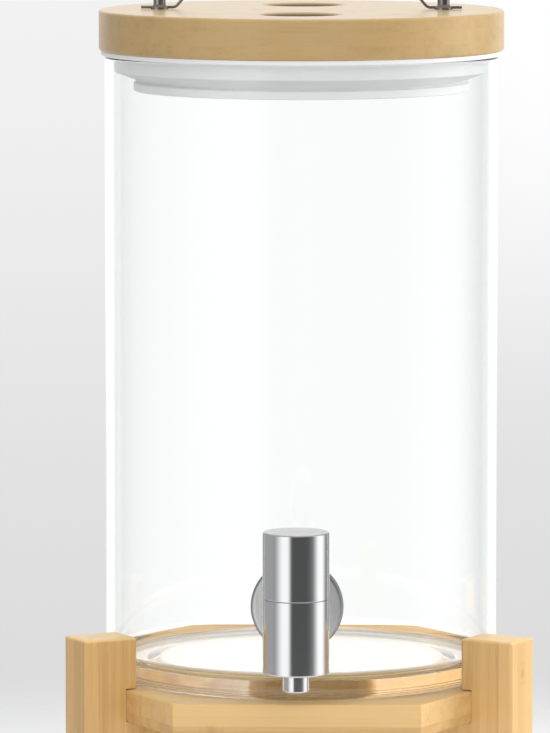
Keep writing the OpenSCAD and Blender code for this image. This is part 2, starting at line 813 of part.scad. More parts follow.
// One side of the bail, drawn flat: stub through the post, elbow, leg and corner
module bail_side() {
    leg_lead = elbow_run - bend_lap;
    wire_run([-stub_x, 0], 0, stub_x - elbow_x - elbow_run + bend_lap);
    wire_bend([-elbow_x - elbow_run, elbow_r], elbow_r, -90, leg_angle);
    wire_run([-elbow_x + leg_lead * cos(leg_angle), leg_lead * sin(leg_angle)], leg_angle, leg_l + 2 * bend_lap);
    wire_bend([-grip_l / 2 + grip_run, bail_rise - grip_r], grip_r, 90, leg_angle);
}

module bail_handle() {
    half_grip = grip_l / 2 - grip_run + bend_lap;
    color(steel) translate([0, 0, pivot_z]) rotate([90, 0, 0]) {
        bail_side();
        mirror([1, 0, 0]) bail_side();
        wire_run([-half_grip, bail_rise], 0, 2 * half_grip);
    }
}

post_front_left();
post_front_right();
post_rear();
platform_upper_ply();
platform_lower_ply();
post_dowels();
foot_pads();
glass_jar();
outer_gasket();
tap_escutcheon();
tap_body();
tap_shank();
inner_gasket();
inner_washer();
lock_nut();
tap_spout();
retaining_ring();
stop_pin();
valve_spool();
spool_o_rings();
tap_handle();
handle_grub_screw();
lid_board();
lid_plug();
seal_ring();
plug_screws();
bail_post_left();
bail_post_right();
post_nuts();
post_washers();
bail_handle();
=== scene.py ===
"""Drink dispenser: the finish of a glass jar on a bamboo stand, with a steel tap and a bamboo lid.

The solids come in as the fixed frame. Turned, bent and drilled pieces that show are made again here
as smooth surfaces of the same sizes, and every piece gets a material worked out from its own coordinates.
"""

import math

import bmesh
import bpy
import numpy as np
from bpy.props import FloatProperty, FloatVectorProperty, IntProperty, PointerProperty
from mathutils import Euler, Matrix, Vector


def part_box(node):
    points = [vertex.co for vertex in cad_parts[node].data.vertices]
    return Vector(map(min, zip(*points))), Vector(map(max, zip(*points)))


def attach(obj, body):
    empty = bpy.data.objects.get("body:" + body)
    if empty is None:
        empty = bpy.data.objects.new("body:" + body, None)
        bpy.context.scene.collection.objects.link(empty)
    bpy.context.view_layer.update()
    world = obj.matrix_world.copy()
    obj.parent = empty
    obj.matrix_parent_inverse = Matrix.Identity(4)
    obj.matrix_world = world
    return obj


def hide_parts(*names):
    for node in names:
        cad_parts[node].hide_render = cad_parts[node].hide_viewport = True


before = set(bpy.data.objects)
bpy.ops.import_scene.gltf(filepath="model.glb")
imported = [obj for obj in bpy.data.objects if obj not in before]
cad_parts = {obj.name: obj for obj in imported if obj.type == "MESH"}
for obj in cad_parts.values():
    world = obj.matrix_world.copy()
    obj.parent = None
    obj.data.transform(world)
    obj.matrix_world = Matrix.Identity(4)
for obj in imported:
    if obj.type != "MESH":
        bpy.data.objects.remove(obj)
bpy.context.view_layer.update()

bl_info = {
    "name": "Drink dispenser",
    "version": (1, 0, 0),
    "blender": (4, 5, 0),
    "location": "View3D > Sidebar > Dispenser",
    "description": "Dresses the packed solids of a glass drink dispenser for rendering",
    "category": "Object",
}

MM = 0.001

# Radii of edges that are only broken, and a wire's domed end as a share of its radius
BROKEN_EDGE = 0.3 * MM
CRISP_EDGE = 0.2 * MM
DOME = 0.6

# Places in metres that the grain and the turning lines are counted from
POST_AXIS = 0.1096
UPPER_PLY_MIDDLE = 0.12515
LOWER_PLY_MIDDLE = 0.1174
LID_MIDDLE = 0.4433
TAP_HEIGHT = 0.1765

# Camera fitted to the photograph: lengths in metres, angles in degrees, and the focal length in pixels
PICTURE_HEIGHT = 733
FOCAL_PIXELS = 6007.7
SENSOR_MM = 36
CAMERA_AROUND = 1.134
CAMERA_TURN = 0.252
CAMERA_TILT = 6.177
CAMERA_DISTANCE = 2.8995
CAMERA_HEIGHT = 0.5936

jar_low, jar_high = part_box("glass_jar")
lid_low, lid_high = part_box("lid_board")
seal_low, seal_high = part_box("seal_ring")
knob_low, knob_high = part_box("tap_handle")
body_low, body_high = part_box("tap_body")
spout_low, spout_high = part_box("tap_spout")
cup_low, cup_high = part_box("tap_escutcheon")
shank_low, shank_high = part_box("tap_shank")
bail_low, bail_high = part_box("bail_handle")


def size(label, text, value):
    """A length in metres that the sidebar shows."""
    return FloatProperty(name=label, description=text, default=value, min=0.0, unit="LENGTH", precision=5)


def share(label, text, value):
    """A number from nothing to one."""
    return FloatProperty(name=label, description=text, default=value, min=0.0, max=1.0, subtype="FACTOR")


def tint(label, text, value):
    """A linear colour."""
    return FloatVectorProperty(name=label, description=text, default=value, min=0.0, max=1.0,
                               size=3, subtype="COLOR")


class JarSizes(bpy.types.PropertyGroup):
    """Sizes of the glass."""

    radius: size("Radius", "Outside radius of the glass", jar_high.x)
    wall: size("Wall", "Thickness of the side wall", 4 * MM)
    base: size("Base", "Thickness of the base", 9 * MM)
    heel: size("Heel", "Radius of the rounded heel", 6 * MM)
    inner_heel: size("Inner heel", "Radius between the inside wall and the base", 5 * MM)
    rim: size("Rim", "Radius of the fire-polished rim's two edges", 1.3 * MM)
    punt: size("Punt", "Radius of the hollow under the base", 75 * MM)
    punt_depth: size("Punt depth", "Depth of the hollow under the base", 1.5 * MM)
    film: size("Air film", "Air between the glass and what it touches", 0.05 * MM)
    hole_height: size("Hole height", "Height of the tap's hole above the floor", TAP_HEIGHT)
    hole: size("Hole", "Radius of the tap's hole", 8.2 * MM)


class TapSizes(bpy.types.PropertyGroup):
    """Sizes of the tap."""

    edge: size("Edge", "Radius of the barrel's turned edges", 0.7 * MM)
    collar: size("Collar", "Radius of the collar inside the handle", 12 * MM)
    chamber: size("Chamber", "Radius of the valve chamber", 9 * MM)
    chamber_floor: size("Chamber floor", "Thickness of the floor under the chamber", 9.1 * MM)
    ring: size("Ring seat", "Radius of the retaining ring's seat", 10.5 * MM)
    ring_height: size("Ring height", "Height of the retaining ring's seat", 4 * MM)
    play: size("Play", "Play between the handle and the body", 0.35 * MM)
    gap: size("Gap", "Gap between the handle and the body", 0.4 * MM)
    seam: size("Seam", "Width of the seam that shows under the handle", 0.12 * MM)
    seam_edge: size("Seam edge", "Radius of the edges at the seam", 0.3 * MM)
    stem: size("Stem", "Radius of the stem's bore in the handle", 4.05 * MM)
    stem_length: size("Stem length", "Depth of the stem's bore in the handle", 12.4 * MM)
    groove: size("Groove", "Radius of the groove that clears the stop pin", 13.75 * MM)
    grub: size("Grub screw", "Radius of the grub screw's hole", 2.05 * MM)
    neck: size("Neck", "Radius of the neck", 10.5 * MM)
    spout_bore: size("Spout bore", "Radius of the spout's bore", 4 * MM)
    spigot: size("Spigot", "Radius of the spout's spigot", 5 * MM)
    spigot_length: size("Spigot length", "Length of the spout's spigot in the body", 6 * MM)
    cup_edge: size("Cup edge", "Radius of the escutcheon's rounded edge", 1.8 * MM)
    skirt: size("Skirt", "Thickness of the escutcheon's skirt", 1.4 * MM)
    face: size("Face", "Thickness of the escutcheon's face", 2.5 * MM)
    shank_bore: size("Shank bore", "Radius of the shank's bore", 4.5 * MM)
    thread_pitch: size("Thread pitch", "Pitch of the shank's thread", 1.4 * MM)
    thread_depth: size("Thread depth", "Depth of the shank's thread", 0.6 * MM)


class LidSizes(bpy.types.PropertyGroup):
    """Sizes of the lid, its seal and its bail."""

    edge: size("Edge", "Radius of the lid's sanded edges", 1.4 * MM)
    scoop: size("Scoop", "Radius of a finger scoop", 20 * MM)
    scoop_depth: size("Scoop depth", "Depth of a finger scoop", 7 * MM)
    scoop_place: size("Scoop place", "Distance of a finger scoop from the lid's axis", 49 * MM)
    scoop_rim: size("Scoop rim", "Softness of a finger scoop's sanded rim", 0.16 * MM)
    flange: size("Flange", "Thickness of the seal's flange", 2.3 * MM)
    upper_lip: size("Upper lip", "Radius of the seal's upper lip", 90.5 * MM)
    upper_lip_drop: size("Upper lip drop", "Depth of the upper lip's lower edge under the board", 9.6 * MM)
    lip_taper: size("Lip taper", "Height of the taper under the upper lip", 4.6 * MM)
    waist: size("Waist", "Radius of the seal's waist", 79 * MM)
    lower_lip: size("Lower lip", "Radius of the seal's lower lip", 81 * MM)
    lower_lip_height: size("Lower lip height", "Height of the seal's lower lip", 4.2 * MM)
    plug: size("Plug", "Radius of the seal's inside round the plug", 74.1 * MM)
    hook: size("Hook", "Width of the seal's edge under the plug", 6 * MM)
    hook_height: size("Hook height", "Thickness of the seal's edge under the plug", 2.9 * MM)
    lip_edge: size("Lip edge", "Radius of the lips' rounded edges", 0.8 * MM)
    wire: size("Wire", "Radius of the bail's wire", 0.7 * MM)
    elbow: size("Elbow", "Distance of the bail's elbows from the middle", 60.7 * MM)
    elbow_bend: size("Elbow bend", "Bend radius of the elbows", 3.5 * MM)
    grip: size("Grip", "Length of the grip between its corners", 40 * MM)
    grip_bend: size("Grip bend", "Bend radius of the grip's corners", 8 * MM)


class Finish(bpy.types.PropertyGroup):
    """Colours and finishes."""

    bamboo_pale: tint("Pale bamboo", "Colour between the fibres", (0.735, 0.465, 0.186))
    bamboo_deep: tint("Deep bamboo", "Colour of the fibres", (0.51, 0.295, 0.100))
    bamboo_node: tint("Bamboo node", "Colour of the node marks", (0.36, 0.19, 0.062))
    board_pale: tint("Pale board bamboo", "Colour between the board's fibres", (0.765, 0.502, 0.212))
    board_deep: tint("Deep board bamboo", "Colour of the board's fibres", (0.570, 0.341, 0.125))
    # Partly painted light: cap is the paler colour of the sanded end grain, made paler still for the light
    # that falls on the post tops.
    cap: tint("Post top", "Colour of the sanded end grain on the posts", (0.95, 0.66, 0.27))
    lid_pale: tint("Pale lid bamboo", "Colour between the lid's fibres", (0.488, 0.333, 0.137))
    lid_deep: tint("Deep lid bamboo", "Colour of the lid's fibres", (0.370, 0.243, 0.088))
    # Painted shade: scoop is a dark brown laid in the finger scoops for the shadow inside them.
    scoop: tint("Scoop", "Colour of the bare grain in the finger scoops", (0.085, 0.062, 0.04))
    glass: tint("Glass", "Tint of the glass", (0.982, 0.994, 0.990))
    steel: tint("Steel", "Colour of the polished steel", (0.74, 0.745, 0.755))
    dark_steel: tint("Dark steel", "Colour of the bail and its posts", (0.30, 0.30, 0.305))
    plain_steel: tint("Plain steel", "Colour of the unpolished steel", (0.52, 0.525, 0.535))
    silicone: tint("Silicone", "Colour of the seals", (0.84, 0.84, 0.838))
    rubber: tint("Rubber", "Colour of the foot pads", (0.022, 0.022, 0.023))
    floor: tint("Floor", "Colour of the floor", (0.80, 0.80, 0.805))
    steel_roughness: share("Steel roughness", "Roughness of the polished steel", 0.14)
    wood_roughness: share("Wood roughness", "Roughness of the lacquered bamboo", 0.42)
    columns: IntProperty(name="Columns", description="Facets round a piece", default=192, min=48, max=384)


def jar_sizes():
    return bpy.context.scene.dispenser_jar


def tap_sizes():
    return bpy.context.scene.dispenser_tap


def lid_sizes():
    return bpy.context.scene.dispenser_lid


def finish():
    return bpy.context.scene.dispenser_finish


# Surfaces


def rounded(corners, steps):
    """A line through corners (x, y, radius), each rounded by an arc that touches both its sides.
    The arc's middle lies on the corner's bisector, radius / sin(half angle) away from the corner.
    Where a side has room, one more point just past the arc keeps the shading of the side flat."""
    points = np.array(corners, float)
    spot = points[:, :2]
    sides = np.linalg.norm(np.diff(spot, axis=0), axis=1)
    ways = np.diff(spot, axis=0) / sides[:, None]
    bend = np.arccos(np.clip((ways[:-1] * ways[1:]).sum(1), -1, 1))
    touch = np.concatenate([[0], points[1:-1, 2] * np.tan(bend / 2), [0]])
    room = sides - touch[:-1] - touch[1:]
    line = [spot[:1]]
    for k in range(1, len(points) - 1):
        radius = points[k, 2]
        if radius <= 0:
            line.append(spot[k:k + 1])
            continue
        back, ahead = -ways[k - 1], ways[k]
        bisector = back + ahead
        centre = spot[k] + bisector / np.linalg.norm(bisector) * radius / math.cos(bend[k - 1] / 2)
        first = spot[k] + back * touch[k]
        last = spot[k] + ahead * touch[k]
        start = math.atan2(*(first - centre)[::-1])
        turn = (math.atan2(*(last - centre)[::-1]) - start + math.pi) % (2 * math.pi) - math.pi
        angle = start + turn * np.linspace(0, 1, steps + 1)
        before, after = np.minimum(0.25 * radius, 0.4 * room[k - 1:k + 1])
        if before > 1e-6:
            line.append((first + back * before)[None])
        line.append(centre + radius * np.stack([np.cos(angle), np.sin(angle)], -1))
        if after > 1e-6:
            line.append((last + ahead * after)[None])
    line.append(spot[-1:])
    return np.concatenate(line)


def turned(profile, columns):
    """Turns a half profile about the upright axis: row i, column j is (r sin t, -r cos t, z),
    where (r, z) is profile point i and t = 2 pi j / columns, counted from the front."""
    turn = np.arange(columns) * (2 * np.pi / columns)
    radius = profile[:, :1]
    height = np.repeat(profile[:, 1:2], columns, axis=1)
    return np.stack([radius * np.sin(turn), -radius * np.cos(turn), height], -1)


def grid_faces(rows, columns, closed=False):
    """Faces of a grid whose columns run round, with the last row joined to the first if closed."""
    row = np.arange(rows if closed else rows - 1)[:, None]
    column = np.arange(columns)[None]
    after = (column + 1) % columns
    here = row * columns
    below = (row + 1) % rows * columns
    corners = [here + column, here + after, below + after, below + column]
    return np.stack(np.broadcast_arrays(*corners), -1).reshape(-1, 4)


def gathered(parts):
    """Joins (points, faces) parts into one pair, with the faces counted on."""
    points = np.concatenate([p.reshape(-1, 3) for p, _ in parts])
    starts = np.cumsum([0] + [p.reshape(-1, 3).shape[0] for p, _ in parts[:-1]])
    faces = np.concatenate([f + s for (_, f), s in zip(parts, starts)])
    return points, faces


def ring(profile, columns):
    """A closed profile turned into a ring."""
    points = turned(profile, columns)
    return points, grid_faces(len(profile), columns, closed=True)


def drilled(profile, columns, spans, middle, half, height, radius):
    """A closed profile turned into a shell with one round hole through its wall.
    spans are the profile rows (first, last) of the outer and the inner wall between which the hole lies,
    middle is the hole's column and half the columns that its window reaches each way. In each window the
    surface is a patch between the hole's circle and the window's edge, blended in (azimuth, height),
    and a tube joins the two circles."""
    rows = len(profile)
    patch_rows = 6
    points = turned(profile, columns)
    faces = grid_faces(rows, columns, closed=True)
    row = np.repeat(np.arange(rows), columns)
    column = (np.tile(np.arange(columns), rows) - middle + columns // 2) % columns - columns // 2
    keep = np.ones(len(faces), bool)
    parts = []
    circles = []
    for first, last in spans:
        keep &= ~((row >= first) & (row < last) & (column >= -half) & (column < half))
        up = np.arange(first, last + 1)
        side = np.arange(-half, half + 1)
        wide, tall = 2 * half, last - first
        edge_row = np.concatenate([np.full(wide, first), up[:-1], np.full(wide, last), up[:0:-1]])
        edge_column = np.concatenate([side[:-1], np.full(tall, half), side[:0:-1], np.full(tall, -half)])
        wall = profile[first, 0]
        edge = np.stack([edge_column * (2 * np.pi / columns), profile[edge_row, 1]], -1)
        angle = np.arctan2(edge[:, 1] - height, wall * np.sin(edge[:, 0]))
        circle = np.stack([np.arcsin(radius * np.cos(angle) / wall), height + radius * np.sin(angle)], -1)
        mix = np.linspace(0, 1, patch_rows)[:, None, None]
        patch = circle + (edge - circle) * mix
        azimuth = patch[..., 0] + middle * (2 * np.pi / columns)
        sheet = np.stack([wall * np.sin(azimuth), -wall * np.cos(azimuth), patch[..., 1]], -1)
        parts.append((sheet, grid_faces(len(sheet), sheet.shape[1])))
        circles.append(sheet[0])
    outer, inner = circles
    order = np.argmin(np.linalg.norm(outer[:, None, [0, 2]] - inner[None, :, [0, 2]], axis=2), axis=1)
    tube = np.stack([outer, inner[order]])
    parts.append((tube, grid_faces(2, len(outer))))
    return gathered([(points, faces[keep])] + parts)


def windowed(outer, lower, upper, window):
    """A closed profile with the window's heights in its outer wall, between outer and lower, and in its
    inner wall, between lower and upper, and the (first, last) rows of both windows."""
    rows = len(window) - 2
    outer_wall = np.stack([np.full(rows, outer[-1, 0]), window[1:-1]], -1)
    inner_wall = np.stack([np.full(rows, lower[-1, 0]), window[-2:0:-1]], -1)
    profile = np.concatenate([outer, outer_wall, lower, inner_wall, upper])
    first = len(outer) - 1
    second = first + rows + len(lower)
    return profile, [(first, first + rows + 1), (second, second + rows + 1)]


def wire_along(line, radius):
    """Round wire along a flat line in the XZ plane: each ring is the line's point plus
    radius (cos a * side + sin a * Y), where side is square to the line. The ends are domed."""
    heading = np.gradient(line, axis=0)
    heading /= np.linalg.norm(heading, axis=1, keepdims=True)
    columns, caps = 24, 4
    dome = np.linspace(0, np.pi / 2, caps + 1)[:-1]
    start = line[0] - heading[0] * radius * DOME * np.cos(dome)[:, None]
    end = line[-1] + heading[-1] * radius * DOME * np.cos(dome[::-1])[:, None]
    middle = np.concatenate([start, line, end])
    heading = np.concatenate([np.repeat(heading[:1], caps, 0), heading, np.repeat(heading[-1:], caps, 0)])
    girth = radius * np.concatenate([np.sin(dome), np.ones(len(line)), np.sin(dome[::-1])])
    angle = np.arange(columns) * (2 * np.pi / columns)
    across = np.stack([-heading[:, 1], np.zeros(len(middle)), heading[:, 0]], -1)
    centre = np.stack([middle[:, 0], np.zeros(len(middle)), middle[:, 1]], -1)
    outward = across[:, None] * np.cos(angle)[:, None] + np.array([0, 1.0, 0]) * np.sin(angle)[:, None]
    points = centre[:, None] + girth[:, None, None] * outward
    return points, grid_faces(len(middle), columns)


def built(name, shape, material):
    """A mesh from (points, faces) with its seams and poles merged and its faces turned outwards."""
    points, faces = shape
    mesh = bpy.data.meshes.new(name)
    mesh.from_pydata(points.reshape(-1, 3).tolist(), [], faces.tolist())
    work = bmesh.new()
    work.from_mesh(mesh)
    bmesh.ops.remove_doubles(work, verts=work.verts, dist=2e-7)
    bmesh.ops.dissolve_degenerate(work, edges=work.edges, dist=1e-8)
    bmesh.ops.recalc_face_normals(work, faces=work.faces)
    work.to_mesh(mesh)
    work.free()
    mesh.materials.append(material)
    return mesh


def piece(name, shape, body, material, nodes, sharp=32):
    """Makes an object from (points, faces), smooth up to the sharp angle in degrees, that rides on a body
    in place of CAD nodes."""
    mesh = built(name, shape, material)
    mesh.polygons.foreach_set("use_smooth", np.ones(len(mesh.polygons), bool))
    mesh.set_sharp_from_angle(angle=math.radians(sharp))
    made = bpy.data.objects.new(name, mesh)
    bpy.context.scene.collection.objects.link(made)
    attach(made, body)
    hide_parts(*nodes)


def coat_nodes(material, *names):
    """Gives CAD nodes a material and leaves their shape alone."""
    for name in names:
        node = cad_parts[name]
        if not node.material_slots:
            node.data.materials.append(material)
        for slot in node.material_slots:
            slot.material = material


# Materials


def overload(operation):
    """An operator of Value and its reflected form."""

    def plain(self, other):
        return self.math(operation, other)

    def flipped(self, other):
        return self.shader.value("ShaderNodeMath", {"operation": operation}, {0: other, 1: self})

    return plain, flipped


class Value:
    """One number or colour in a node tree. Python's operators on it add Math nodes."""

    def __init__(self, shader, socket):
        self.shader = shader
        self.socket = socket

    def math(self, operation, *others):
        inputs = {k: v for k, v in enumerate((self,) + others)}
        return self.shader.value("ShaderNodeMath", {"operation": operation}, inputs)

    __add__, __radd__ = overload("ADD")
    __sub__, __rsub__ = overload("SUBTRACT")
    __mul__, __rmul__ = overload("MULTIPLY")
    __truediv__, __rtruediv__ = overload("DIVIDE")
    __pow__, __rpow__ = overload("POWER")

    def fraction(self):
        return self.math("FRACT")

    def size(self):
        return self.math("ABSOLUTE")

    def step(self, low, high, start=0.0, end=1.0):
        """Smooth step from start to end between low and high."""
        settings = {"interpolation_type": "SMOOTHSTEP"}
        inputs = {0: self, 1: low, 2: high, 3: start, 4: end}
        return self.shader.value("ShaderNodeMapRange", settings, inputs)


class Shader:
    """A material's or world's node tree, built from expressions."""

    def __init__(self, owner):
        owner.use_nodes = True
        self.owner = owner
        self.tree = owner.node_tree
        self.tree.nodes.clear()

    def node(self, kind, settings=None, inputs=None):
        """Any node: its settings are set first, then its sockets get values or links."""
        made = self.tree.nodes.new(kind)
        for key, setting in (settings or {}).items():
            setattr(made, key, setting)
        for key, given in (inputs or {}).items():
            if isinstance(given, Value):
                self.tree.links.new(given.socket, made.inputs[key])
            else:
                made.inputs[key].default_value = given
        return made

    def value(self, kind, settings=None, inputs=None, output=0):
        """The chosen output of a node."""
        return Value(self, self.node(kind, settings, inputs).outputs[output])

    def place(self, turn, shift):
        """The piece's own coordinates in metres, turned and then shifted, as three values."""
        where = self.value("ShaderNodeTexCoord", output=3)
        moved = self.value("ShaderNodeMapping", None, {"Vector": where, "Rotation": turn, "Location": shift})
        split = self.node("ShaderNodeSeparateXYZ", None, {0: moved})
        return [Value(self, s) for s in split.outputs]

    def joined(self, x, y, z):
        return self.value("ShaderNodeCombineXYZ", None, {0: x, 1: y, 2: z})

    def noise(self, x, y, z, detail, rough):
        inputs = {"Vector": self.joined(x, y, z), "Scale": 1.0, "Detail": detail, "Roughness": rough}
        return self.value("ShaderNodeTexNoise", None, inputs)

    def chance(self, x, y, z):
        inputs = {"Vector": self.joined(x, y, z)}
        return self.value("ShaderNodeTexWhiteNoise", {"noise_dimensions": "3D"}, inputs)

    def blend(self, share_of_second, first, second):
        first = first if isinstance(first, Value) else (*first, 1.0)
        second = second if isinstance(second, Value) else (*second, 1.0)
        inputs = {0: share_of_second, 6: first, 7: second}
        return self.value("ShaderNodeMix", {"data_type": "RGBA"}, inputs, output=2)

    def bump(self, height, strength, distance):
        inputs = {"Height": height, "Strength": strength, "Distance": distance}
        return self.value("ShaderNodeBump", None, inputs)

    def principled(self, **inputs):
        named = {key.replace("_", " "): given for key, given in inputs.items()}
        return self.value("ShaderNodeBsdfPrincipled", None, named)

    def out(self, surface, kind="ShaderNodeOutputMaterial"):
        self.node(kind, None, {"Surface": surface})
        return self.owner


def material(name, turn=(0, 0, 0), shift=(0, 0, 0)):
    """A new material's shader, and the piece's own coordinates in it."""
    m = Shader(bpy.data.materials.new(name))
    return m, *m.place(turn, shift)


def bamboo(name, strip, layer, turn=(0, 0, 0), shift=(0, 0, 0), upright=False, tone=0.0, seed=0.0,
           pale=None, fibres=None, marks=1.0, top_and_scoop_shade=None, cap=None):
    """Lacquered laminated bamboo. The strips run along X, or along Z if upright; each strip has its own
    tone, long fibres, short dark pores and a node mark at its own place, and end grain shows as dots.
    The pair (top, radius) gives the height of a lacquered top and the radius inside which lower grain gets a
    painted shade, dark brown for the shadow in the finger scoops, and cap the height of a sanded top whose
    end grain is paler, partly its own colour and partly painted light on the top."""
    gloss = 0.25
    node_spacing = 0.21
    warm_tone = (0.60, 0.34, 0.16)
    m, x, y, z = material(name, turn, shift)
    along, across, depth = (z, y, x) if upright else (x, y, z)
    strip_place = across / strip + 0.5
    layer_place = depth / layer + 0.5
    strip_no = strip_place.math("FLOOR")
    layer_no = layer_place.math("FLOOR")
    own = m.chance(strip_no, layer_no, seed)
    other = m.chance(strip_no, layer_no, seed + 7.3)
    drift = own * 13.0
    broad = m.noise(along * 4.0 + drift, across * 190.0, depth * 190.0, 2.0, 0.5)
    fibre = m.noise(along * 16.0 + drift, across * 1500.0, depth * 1500.0, 3.0, 0.6)
    pore = m.noise(along * 70.0 + drift, across * 2800.0, depth * 2800.0, 1.0, 0.5).step(0.60, 0.74)
    wobble = m.noise(along * 40.0, across * 300.0, depth * 300.0 + drift, 1.0, 0.5)
    reach = ((along / node_spacing + other).fraction() - 0.5).size() * node_spacing + (wobble - 0.5) * 0.004
    within = 1 - (strip_place.fraction() - 0.5).size() * 1.7
    knot = reach.step(0.0, 0.0045, 1.0, 0.0) * within.math("MAXIMUM", 0.0)
    ring_line = (reach - 0.0052).size().step(0.0, 0.0011, 1.0, 0.0)
    seam = (strip_place.fraction() - 0.5).size().step(0.465, 0.5) * 0.35
    deep = (fibre * 0.75 + broad * 1.15 + own * 0.42 * marks - 0.82 + tone + pore * 0.22).step(0.0, 1.0)
    colour = m.blend(deep, pale or finish().bamboo_pale, fibres or finish().bamboo_deep)
    warm = m.blend(other * 0.14, colour, warm_tone)
    stain = (knot * 0.42 + ring_line * 0.16 + seam * 0.3).math("MINIMUM", 0.6) * marks
    marked = m.blend(stain, warm, finish().bamboo_node)
    # Partly painted light: the post tops get the paler end-grain colour, its paleness partly for the light
    # falling on them.
    if cap:
        marked = m.blend(z.step(cap - 0.0012, cap - 0.0003) * 0.5, marked, finish().cap)
    # Painted shade: inside the radius, grain below the top is blended to the dark scoop colour for the
    # shadow in the finger scoops; the top itself gets more lacquer.
    if top_and_scoop_shade:
        top, radius = top_and_scoop_shade
        away = ((x - shift[0]) * (x - shift[0]) + (y - shift[1]) * (y - shift[1])) ** 0.5
        sunk = z.step(top - 0.0013, top - 0.0002, 1.0, 0.0) * away.step(radius, radius + 0.003, 1.0, 0.0)
        dark = sunk * z.step(0.0, 0.001)
        marked = m.blend(dark * 0.92, marked, finish().scoop)
        gloss = gloss + z.step(top - 0.0006, top - 0.0001) * 0.3
    roughness = finish().wood_roughness + (fibre - 0.5) * 0.12 + pore * 0.10 + knot * 0.05
    height = fibre * 0.5 - pore * 0.6 - seam * 0.8 - ring_line * 0.3
    surface = m.principled(Base_Color=marked, Roughness=roughness, IOR=1.5, Coat_Roughness=0.2,
                           Coat_Weight=gloss - pore * 0.10, Normal=m.bump(height, 0.16, 0.00025))
    return m.out(surface)


def clear_glass():
    """Clear pressed glass with a faint waviness and dust-soft patches; lamps shine through it."""
    m, x, y, z = material("clear_glass")
    wave = m.noise(x * 14.0, y * 14.0, z * 5.0, 1.0, 0.4)
    film = m.noise(x * 30.0, y * 30.0, z * 12.0, 3.0, 0.6).step(0.5, 0.85)
    surface = m.principled(Base_Color=(*finish().glass, 1.0), Roughness=film * 0.012, IOR=1.47,
                           Transmission_Weight=1.0, Normal=m.bump(wave, 0.06, 0.0008))
    shade = (0.93, 0.945, 0.94, 1.0)
    through = m.value("ShaderNodeBsdfTransparent", None, {"Color": shade})
    lamp = m.value("ShaderNodeLightPath", output=1)
    return m.out(m.value("ShaderNodeMixShader", None, {0: lamp, 1: surface, 2: through}))


def polished_steel(name, axis="z", rough=0.0, lines=0.02, end=None, shade=None, rim=None):
    """Turned and polished steel: fine turning lines round the axis, soft smears and a few scratches.
    axis is z for the tap's barrel and y for what lies on the tap's level axis. lines is how deep the turning
    lines are; above the height end a faced end is rougher and its colour is painted darker, painted shade
    that tones down its reflection; and a disc of radius rim gets a painted shade, a dark ring along its
    edge."""
    barrel_axis = 0.5 * (knob_low.y + knob_high.y)
    m, x, y, z = material(name, shift=(0, -barrel_axis, 0) if axis == "z" else (0, 0, -TAP_HEIGHT))
    along = z if axis == "z" else y
    away = ((x * x + y * y) if axis == "z" else (x * x + z * z)) ** 0.5
    line = m.noise(along * 5200.0, away * 5200.0, 0.0, 2.0, 0.6)
    smear = m.noise(x * 90.0, y * 90.0, z * 38.0, 3.0, 0.55)
    scratch = m.noise(x * 260.0, y * 260.0, z * 4200.0, 1.0, 0.4).step(0.70, 0.80)
    tone = shade or finish().steel
    colour = m.blend(smear * 0.25 + line * 0.25, tone, tuple(0.89 * part for part in tone))
    uneven = (smear - 0.5) * 0.06 + (line - 0.5) * 0.05 + scratch * 0.05
    roughness = finish().steel_roughness + rough + uneven
    # Painted shade: edge is the colour of a dark ring blended along the edge of the disc.
    if rim:
        edge = (0.16, 0.16, 0.165)
        rim_shade = away.step(rim - 0.0020, rim - 0.0008)
        colour = m.blend(rim_shade * 0.75, colour, edge)
    # Painted shade: the faced end's colour is blended darker to tone down its reflection; its rougher finish
    # is its own.
    if end:
        end_shade_tone = (0.36, 0.36, 0.365)
        faced = z.step(end - 0.0002, end - 0.00005)
        colour = m.blend(faced * 0.4, colour, end_shade_tone)
        roughness = roughness + faced * 0.10
    surface = m.principled(Base_Color=colour, Metallic=1.0, Roughness=roughness,
                           Normal=m.bump(line, lines, 0.0001))
    return m.out(surface)


def plain_steel():
    """Bright-drawn steel of screws, nuts and valve parts: brushed, with darker patches."""
    m, x, y, z = material("plain_steel")
    grain = m.noise(x * 400.0, y * 2600.0, z * 2600.0, 2.0, 0.6)
    patch = m.noise(x * 120.0, y * 120.0, z * 120.0, 3.0, 0.55)
    patch_tone = (0.38, 0.38, 0.39)
    colour = m.blend(patch * 0.6 + grain * 0.3, finish().plain_steel, patch_tone)
    surface = m.principled(Base_Color=colour, Metallic=1.0, Roughness=0.26 + grain * 0.14 + patch * 0.06,
                           Normal=m.bump(grain, 0.05, 0.0001))
    return m.out(surface)


def silicone():
    """Pale moulded silicone with a satin skin, faint flow marks and a little dust."""
    m, x, y, z = material("silicone")
    flow = m.noise(x * 45.0, y * 45.0, z * 160.0, 3.0, 0.55)
    speck = m.noise(x * 1400.0, y * 1400.0, z * 1400.0, 1.0, 0.5).step(0.66, 0.76)
    flow_tone = (0.76, 0.76, 0.76)
    colour = m.blend(flow * 0.5 + speck * 0.12, finish().silicone, flow_tone)
    surface = m.principled(Base_Color=colour, Roughness=0.36 + flow * 0.16 + speck * 0.1, IOR=1.42,
                           Normal=m.bump(flow + speck * 0.2, 0.08, 0.0003))
    return m.out(surface)


def dark_rubber():
    """Black moulded rubber with a fine grain and pale scuffs."""
    m, x, y, z = material("dark_rubber")
    grain = m.noise(x * 1800.0, y * 1800.0, z * 1800.0, 2.0, 0.5)
    scuff = m.noise(x * 210.0, y * 210.0, z * 210.0, 4.0, 0.65).step(0.56, 0.75)
    scuff_tone = (0.11, 0.108, 0.105)
    colour = m.blend(scuff * 0.35, finish().rubber, scuff_tone)
    surface = m.principled(Base_Color=colour, Roughness=0.62 + grain * 0.2 + scuff * 0.1,
                           Normal=m.bump(grain, 0.25, 0.0002))
    return m.out(surface)


